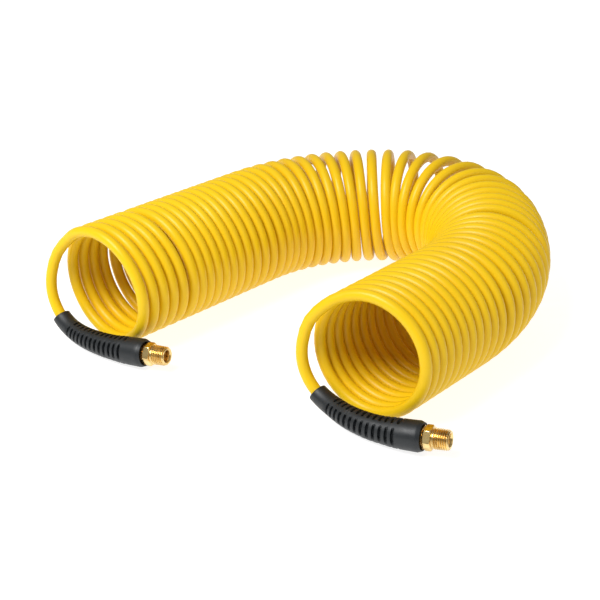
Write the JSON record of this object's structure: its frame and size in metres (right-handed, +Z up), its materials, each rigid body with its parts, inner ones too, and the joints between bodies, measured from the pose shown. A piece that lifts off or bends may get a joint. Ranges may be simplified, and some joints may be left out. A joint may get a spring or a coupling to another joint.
{
  "type": "recoil air hose",
  "caption": "Coiled recoil air hose folded in a U, a rubber bend restrictor and a brass swivel fitting with a male pipe thread at each end.",
  "frame": {"origin": "on the floor, under the middle of the whole hose's outline", "axes": "+Z up; the coil's axis lies level at half the coil's height; +X to the right and -Y towards someone who faces the two open ends of the coil"},
  "size_m": [0.37, 0.3544, 0.09],
  "materials": {
    "hose": "semi-gloss polyurethane",
    "sleeve": "matte moulded rubber",
    "ferrule": "satin",
    "brass": "polished",
    "seal": "smooth",
    "spring_wire": "bright drawn wire"
  },
  "bodies": {
    "hose": {"hose_coil_bend": "hose", "hose_coil_inlet_arm": "hose", "hose_coil_outlet_arm": "hose"},
    "inlet_turn_12": {"inlet_half_turn_12": "hose"},
    "inlet_turn_11": {"inlet_half_turn_11": "hose"},
    "inlet_turn_10": {"inlet_half_turn_10": "hose"},
    "inlet_turn_09": {"inlet_half_turn_09": "hose"},
    "inlet_turn_08": {"inlet_half_turn_08": "hose"},
    "inlet_turn_07": {"inlet_half_turn_07": "hose"},
    "inlet_turn_06": {"inlet_half_turn_06": "hose"},
    "inlet_turn_05": {"inlet_half_turn_05": "hose"},
    "inlet_turn_04": {"inlet_half_turn_04": "hose"},
    "inlet_turn_03": {"inlet_half_turn_03": "hose"},
    "inlet_turn_02": {"inlet_half_turn_02": "hose"},
    "inlet_turn_01": {"inlet_half_turn_01": "hose"},
    "inlet_end": {"hose_tail_inlet": "hose", "inlet_bend_restrictor": "sleeve", "inlet_crimp_ferrule": "ferrule", "inlet_barbed_stem": "brass", "inlet_seal_ring": "seal", "inlet_retaining_ring": "spring_wire"},
    "inlet_nipple": {"inlet_swivel_nipple": "brass"},
    "outlet_turn_12": {"outlet_half_turn_12": "hose"},
    "outlet_turn_11": {"outlet_half_turn_11": "hose"},
    "outlet_turn_10": {"outlet_half_turn_10": "hose"},
    "outlet_turn_09": {"outlet_half_turn_09": "hose"},
    "outlet_turn_08": {"outlet_half_turn_08": "hose"},
    "outlet_turn_07": {"outlet_half_turn_07": "hose"},
    "outlet_turn_06": {"outlet_half_turn_06": "hose"},
    "outlet_turn_05": {"outlet_half_turn_05": "hose"},
    "outlet_turn_04": {"outlet_half_turn_04": "hose"},
    "outlet_turn_03": {"outlet_half_turn_03": "hose"},
    "outlet_turn_02": {"outlet_half_turn_02": "hose"},
    "outlet_turn_01": {"outlet_half_turn_01": "hose"},
    "outlet_end": {"hose_tail_outlet": "hose", "outlet_bend_restrictor": "sleeve", "outlet_crimp_ferrule": "ferrule", "outlet_barbed_stem": "brass", "outlet_seal_ring": "seal", "outlet_retaining_ring": "spring_wire"},
    "outlet_nipple": {"outlet_swivel_nipple": "brass"}
  },
  "joints": [
    {"name": "inlet_pull", "type": "slide", "parent": "hose", "child": "inlet_turn_12", "axis": [-0.6921, -0.7218, 0], "range_m": [0, 0.028], "stiffness_N_per_m": 80},
    {"name": "inlet_pull_02", "type": "slide", "parent": "inlet_turn_12", "child": "inlet_turn_11", "axis": [-0.6921, -0.7218, 0], "range_m": [0, 0.028], "stiffness_N_per_m": 80},
    {"name": "inlet_pull_03", "type": "slide", "parent": "inlet_turn_11", "child": "inlet_turn_10", "axis": [-0.6921, -0.7218, 0], "range_m": [0, 0.028], "stiffness_N_per_m": 80},
    {"name": "inlet_pull_04", "type": "slide", "parent": "inlet_turn_10", "child": "inlet_turn_09", "axis": [-0.6921, -0.7218, 0], "range_m": [0, 0.028], "stiffness_N_per_m": 80},
    {"name": "inlet_pull_05", "type": "slide", "parent": "inlet_turn_09", "child": "inlet_turn_08", "axis": [-0.6921, -0.7218, 0], "range_m": [0, 0.028], "stiffness_N_per_m": 80},
    {"name": "inlet_pull_06", "type": "slide", "parent": "inlet_turn_08", "child": "inlet_turn_07", "axis": [-0.6921, -0.7218, 0], "range_m": [0, 0.028], "stiffness_N_per_m": 80},
    {"name": "inlet_pull_07", "type": "slide", "parent": "inlet_turn_07", "child": "inlet_turn_06", "axis": [-0.6921, -0.7218, 0], "range_m": [0, 0.028], "stiffness_N_per_m": 80},
    {"name": "inlet_pull_08", "type": "slide", "parent": "inlet_turn_06", "child": "inlet_turn_05", "axis": [-0.6921, -0.7218, 0], "range_m": [0, 0.028], "stiffness_N_per_m": 80},
    {"name": "inlet_pull_09", "type": "slide", "parent": "inlet_turn_05", "child": "inlet_turn_04", "axis": [-0.6921, -0.7218, 0], "range_m": [0, 0.028], "stiffness_N_per_m": 80},
    {"name": "inlet_pull_10", "type": "slide", "parent": "inlet_turn_04", "child": "inlet_turn_03", "axis": [-0.6921, -0.7218, 0], "range_m": [0, 0.028], "stiffness_N_per_m": 80},
    {"name": "inlet_pull_11", "type": "slide", "parent": "inlet_turn_03", "child": "inlet_turn_02", "axis": [-0.6921, -0.7218, 0], "range_m": [0, 0.028], "stiffness_N_per_m": 80},
    {"name": "inlet_pull_12", "type": "slide", "parent": "inlet_turn_02", "child": "inlet_turn_01", "axis": [-0.6921, -0.7218, 0], "range_m": [0, 0.028], "stiffness_N_per_m": 80},
    {"name": "inlet_swing", "type": "hinge", "parent": "inlet_turn_01", "child": "inlet_end", "pos_m": [-0.17928, 0.00269, 0.05], "axis": [0, 0, -1], "range_deg": [0, 90], "stiffness_Nm_per_rad": 0.1},
    {"name": "inlet_swivel", "type": "hinge", "parent": "inlet_end", "child": "inlet_nipple", "pos_m": [-0.10779, -0.05755, 0.0121], "axis": [0.885, -0.4529, 0.1076], "continuous": true},
    {"name": "outlet_pull", "type": "slide", "parent": "hose", "child": "outlet_turn_12", "axis": [-0.6626, -0.749, 0], "range_m": [0, 0.028], "stiffness_N_per_m": 80},
    {"name": "outlet_pull_02", "type": "slide", "parent": "outlet_turn_12", "child": "outlet_turn_11", "axis": [-0.6626, -0.749, 0], "range_m": [0, 0.028], "stiffness_N_per_m": 80},
    {"name": "outlet_pull_03", "type": "slide", "parent": "outlet_turn_11", "child": "outlet_turn_10", "axis": [-0.6626, -0.749, 0], "range_m": [0, 0.028], "stiffness_N_per_m": 80},
    {"name": "outlet_pull_04", "type": "slide", "parent": "outlet_turn_10", "child": "outlet_turn_09", "axis": [-0.6626, -0.749, 0], "range_m": [0, 0.028], "stiffness_N_per_m": 80},
    {"name": "outlet_pull_05", "type": "slide", "parent": "outlet_turn_09", "child": "outlet_turn_08", "axis": [-0.6626, -0.749, 0], "range_m": [0, 0.028], "stiffness_N_per_m": 80},
    {"name": "outlet_pull_06", "type": "slide", "parent": "outlet_turn_08", "child": "outlet_turn_07", "axis": [-0.6626, -0.749, 0], "range_m": [0, 0.028], "stiffness_N_per_m": 80},
    {"name": "outlet_pull_07", "type": "slide", "parent": "outlet_turn_07", "child": "outlet_turn_06", "axis": [-0.6626, -0.749, 0], "range_m": [0, 0.028], "stiffness_N_per_m": 80},
    {"name": "outlet_pull_08", "type": "slide", "parent": "outlet_turn_06", "child": "outlet_turn_05", "axis": [-0.6626, -0.749, 0], "range_m": [0, 0.028], "stiffness_N_per_m": 80},
    {"name": "outlet_pull_09", "type": "slide", "parent": "outlet_turn_05", "child": "outlet_turn_04", "axis": [-0.6626, -0.749, 0], "range_m": [0, 0.028], "stiffness_N_per_m": 80},
    {"name": "outlet_pull_10", "type": "slide", "parent": "outlet_turn_04", "child": "outlet_turn_03", "axis": [-0.6626, -0.749, 0], "range_m": [0, 0.028], "stiffness_N_per_m": 80},
    {"name": "outlet_pull_11", "type": "slide", "parent": "outlet_turn_03", "child": "outlet_turn_02", "axis": [-0.6626, -0.749, 0], "range_m": [0, 0.028], "stiffness_N_per_m": 80},
    {"name": "outlet_pull_12", "type": "slide", "parent": "outlet_turn_02", "child": "outlet_turn_01", "axis": [-0.6626, -0.749, 0], "range_m": [0, 0.028], "stiffness_N_per_m": 80},
    {"name": "outlet_swing", "type": "hinge", "parent": "outlet_turn_01", "child": "outlet_end", "pos_m": [0.00043, -0.10176, 0.05], "axis": [0, 0, -1], "range_deg": [0, 90], "stiffness_Nm_per_rad": 0.1},
    {"name": "outlet_swivel", "type": "hinge", "parent": "outlet_end", "child": "outlet_nipple", "pos_m": [0.07376, -0.16451, 0.0124], "axis": [0.9062, -0.4065, 0.116], "continuous": true}
  ],
  "couplings": [
    {"joint": "inlet_pull_02", "follows": "inlet_pull", "ratio": 1},
    {"joint": "inlet_pull_03", "follows": "inlet_pull", "ratio": 1},
    {"joint": "inlet_pull_04", "follows": "inlet_pull", "ratio": 1},
    {"joint": "inlet_pull_05", "follows": "inlet_pull", "ratio": 1},
    {"joint": "inlet_pull_06", "follows": "inlet_pull", "ratio": 1},
    {"joint": "inlet_pull_07", "follows": "inlet_pull", "ratio": 1},
    {"joint": "inlet_pull_08", "follows": "inlet_pull", "ratio": 1},
    {"joint": "inlet_pull_09", "follows": "inlet_pull", "ratio": 1},
    {"joint": "inlet_pull_10", "follows": "inlet_pull", "ratio": 1},
    {"joint": "inlet_pull_11", "follows": "inlet_pull", "ratio": 1},
    {"joint": "inlet_pull_12", "follows": "inlet_pull", "ratio": 1},
    {"joint": "outlet_pull_02", "follows": "outlet_pull", "ratio": 1},
    {"joint": "outlet_pull_03", "follows": "outlet_pull", "ratio": 1},
    {"joint": "outlet_pull_04", "follows": "outlet_pull", "ratio": 1},
    {"joint": "outlet_pull_05", "follows": "outlet_pull", "ratio": 1},
    {"joint": "outlet_pull_06", "follows": "outlet_pull", "ratio": 1},
    {"joint": "outlet_pull_07", "follows": "outlet_pull", "ratio": 1},
    {"joint": "outlet_pull_08", "follows": "outlet_pull", "ratio": 1},
    {"joint": "outlet_pull_09", "follows": "outlet_pull", "ratio": 1},
    {"joint": "outlet_pull_10", "follows": "outlet_pull", "ratio": 1},
    {"joint": "outlet_pull_11", "follows": "outlet_pull", "ratio": 1},
    {"joint": "outlet_pull_12", "follows": "outlet_pull", "ratio": 1}
  ]
}
